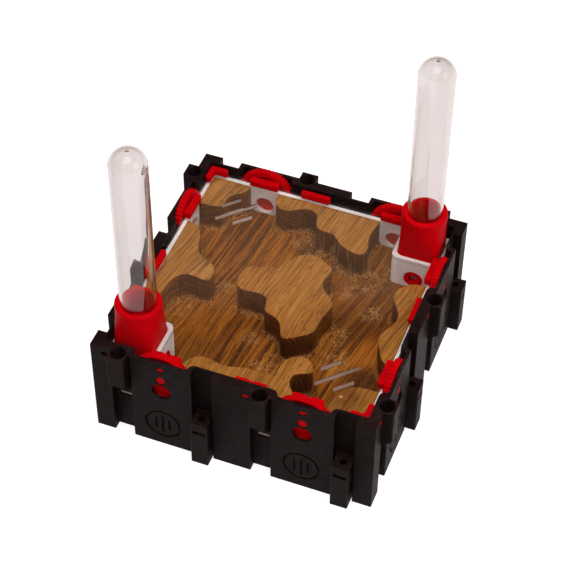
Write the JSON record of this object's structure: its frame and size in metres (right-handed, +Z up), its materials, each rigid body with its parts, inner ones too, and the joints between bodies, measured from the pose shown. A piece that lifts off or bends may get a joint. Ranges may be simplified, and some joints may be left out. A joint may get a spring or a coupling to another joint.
{
  "type": "ant habitat",
  "caption": "Square ant habitat module with a carved wooden nest under a clear cover, wall ports with gate wheels, cover clips and two test-tube towers.",
  "frame": {"origin": "centre of the footprint, on the ground", "axes": "+X to the right along the front wall, +Y to the back wall, +Z up"},
  "size_m": [0.1372, 0.1372, 0.155],
  "materials": {
    "black_plastic": "fine-layered matte print",
    "white_plastic": "fine-layered matte print",
    "red_plastic": "satin print",
    "acacia": "oiled, milled",
    "clear_cover": "polished, clear",
    "clear_tube": "moulded, clear"
  },
  "bodies": {
    "module": {"shell_floor": "black_plastic", "liner_floor": "white_plastic", "nest_block": "acacia", "cover": "clear_cover", "shell_front_1": "black_plastic", "shell_front_2": "black_plastic", "liner_front": "white_plastic", "shell_right_1": "black_plastic", "shell_right_2": "black_plastic", "liner_right": "white_plastic", "shell_back_1": "black_plastic", "shell_back_2": "black_plastic", "liner_back": "white_plastic", "shell_left_1": "black_plastic", "shell_left_2": "black_plastic", "liner_left": "white_plastic", "cup_front_left": "white_plastic", "cup_back_right": "white_plastic", "cup_plug_x_front_left": "red_plastic", "cup_plug_y_front_left": "red_plastic", "cup_plug_x_back_right": "red_plastic", "cup_plug_y_back_right": "red_plastic"},
    "cover_clip_front": {"cover_clip_front": "red_plastic"},
    "gate_wheel_front_1": {"gate_wheel_front_1": "red_plastic"},
    "gate_clip_front_1": {"gate_clip_front_1": "red_plastic"},
    "gate_wheel_front_2": {"gate_wheel_front_2": "red_plastic"},
    "gate_clip_front_2": {"gate_clip_front_2": "red_plastic"},
    "cover_clip_right": {"cover_clip_right": "red_plastic"},
    "gate_wheel_right_1": {"gate_wheel_right_1": "red_plastic"},
    "gate_clip_right_1": {"gate_clip_right_1": "red_plastic"},
    "gate_wheel_right_2": {"gate_wheel_right_2": "red_plastic"},
    "gate_clip_right_2": {"gate_clip_right_2": "red_plastic"},
    "cover_clip_back": {"cover_clip_back": "red_plastic"},
    "gate_wheel_back_1": {"gate_wheel_back_1": "red_plastic"},
    "gate_clip_back_1": {"gate_clip_back_1": "red_plastic"},
    "gate_wheel_back_2": {"gate_wheel_back_2": "red_plastic"},
    "gate_clip_back_2": {"gate_clip_back_2": "red_plastic"},
    "cover_clip_left": {"cover_clip_left": "red_plastic"},
    "gate_wheel_left_1": {"gate_wheel_left_1": "red_plastic"},
    "gate_clip_left_1": {"gate_clip_left_1": "red_plastic"},
    "gate_wheel_left_2": {"gate_wheel_left_2": "red_plastic"},
    "gate_clip_left_2": {"gate_clip_left_2": "red_plastic"},
    "corner_clip_front_right": {"corner_clip_front_right": "red_plastic"},
    "corner_clip_back_left": {"corner_clip_back_left": "red_plastic"},
    "tower_socket_front_left": {"tower_socket_front_left": "red_plastic"},
    "test_tube_front_left": {"test_tube_front_left": "clear_tube"},
    "tower_socket_back_right": {"tower_socket_back_right": "red_plastic"},
    "test_tube_back_right": {"test_tube_back_right": "clear_tube"}
  },
  "joints": [
    {"name": "cover_clip_front_slide", "type": "slide", "parent": "module", "child": "cover_clip_front", "axis": [0, 1, 0], "range_m": [0, 0.005]},
    {"name": "gate_wheel_front_1_turn", "type": "hinge", "parent": "module", "child": "gate_wheel_front_1", "pos_m": [-0.032, -0.0607, 0.042], "axis": [0, -1, 0], "continuous": true},
    {"name": "gate_clip_front_1_lift", "type": "slide", "parent": "module", "child": "gate_clip_front_1", "axis": [0, 0, 1], "range_m": [0, 0.007]},
    {"name": "gate_wheel_front_2_turn", "type": "hinge", "parent": "module", "child": "gate_wheel_front_2", "pos_m": [0.032, -0.0607, 0.042], "axis": [0, -1, 0], "continuous": true},
    {"name": "gate_clip_front_2_lift", "type": "slide", "parent": "module", "child": "gate_clip_front_2", "axis": [0, 0, 1], "range_m": [0, 0.007]},
    {"name": "cover_clip_right_slide", "type": "slide", "parent": "module", "child": "cover_clip_right", "axis": [-1, 0, 0], "range_m": [0, 0.005]},
    {"name": "gate_wheel_right_1_turn", "type": "hinge", "parent": "module", "child": "gate_wheel_right_1", "pos_m": [0.0607, -0.032, 0.042], "axis": [1, 0, 0], "continuous": true},
    {"name": "gate_clip_right_1_lift", "type": "slide", "parent": "module", "child": "gate_clip_right_1", "axis": [0, 0, 1], "range_m": [0, 0.007]},
    {"name": "gate_wheel_right_2_turn", "type": "hinge", "parent": "module", "child": "gate_wheel_right_2", "pos_m": [0.0607, 0.032, 0.042], "axis": [1, 0, 0], "continuous": true},
    {"name": "gate_clip_right_2_lift", "type": "slide", "parent": "module", "child": "gate_clip_right_2", "axis": [0, 0, 1], "range_m": [0, 0.007]},
    {"name": "cover_clip_back_slide", "type": "slide", "parent": "module", "child": "cover_clip_back", "axis": [0, -1, 0], "range_m": [0, 0.005]},
    {"name": "gate_wheel_back_1_turn", "type": "hinge", "parent": "module", "child": "gate_wheel_back_1", "pos_m": [0.032, 0.0607, 0.042], "axis": [0, 1, 0], "continuous": true},
    {"name": "gate_clip_back_1_lift", "type": "slide", "parent": "module", "child": "gate_clip_back_1", "axis": [0, 0, 1], "range_m": [0, 0.007]},
    {"name": "gate_wheel_back_2_turn", "type": "hinge", "parent": "module", "child": "gate_wheel_back_2", "pos_m": [-0.032, 0.0607, 0.042], "axis": [0, 1, 0], "continuous": true},
    {"name": "gate_clip_back_2_lift", "type": "slide", "parent": "module", "child": "gate_clip_back_2", "axis": [0, 0, 1], "range_m": [0, 0.007]},
    {"name": "cover_clip_left_slide", "type": "slide", "parent": "module", "child": "cover_clip_left", "axis": [1, 0, 0], "range_m": [0, 0.005]},
    {"name": "gate_wheel_left_1_turn", "type": "hinge", "parent": "module", "child": "gate_wheel_left_1", "pos_m": [-0.0607, 0.032, 0.042], "axis": [-1, 0, 0], "continuous": true},
    {"name": "gate_clip_left_1_lift", "type": "slide", "parent": "module", "child": "gate_clip_left_1", "axis": [0, 0, 1], "range_m": [0, 0.007]},
    {"name": "gate_wheel_left_2_turn", "type": "hinge", "parent": "module", "child": "gate_wheel_left_2", "pos_m": [-0.0607, -0.032, 0.042], "axis": [-1, 0, 0], "continuous": true},
    {"name": "gate_clip_left_2_lift", "type": "slide", "parent": "module", "child": "gate_clip_left_2", "axis": [0, 0, 1], "range_m": [0, 0.007]},
    {"name": "corner_clip_front_right_slide", "type": "slide", "parent": "module", "child": "corner_clip_front_right", "axis": [-1, 0, 0], "range_m": [0, 0.005]},
    {"name": "corner_clip_back_left_slide", "type": "slide", "parent": "module", "child": "corner_clip_back_left", "axis": [1, 0, 0], "range_m": [0, 0.005]},
    {"name": "tower_socket_front_left_lift", "type": "slide", "parent": "module", "child": "tower_socket_front_left", "axis": [0, 0, 1], "range_m": [0, 0.008]},
    {"name": "test_tube_front_left_lift", "type": "slide", "parent": "tower_socket_front_left", "child": "test_tube_front_left", "axis": [0, 0, 1], "range_m": [0, 0.015]},
    {"name": "tower_socket_back_right_lift", "type": "slide", "parent": "module", "child": "tower_socket_back_right", "axis": [0, 0, 1], "range_m": [0, 0.008]},
    {"name": "test_tube_back_right_lift", "type": "slide", "parent": "tower_socket_back_right", "child": "test_tube_back_right", "axis": [0, 0, 1], "range_m": [0, 0.015]}
  ]
}
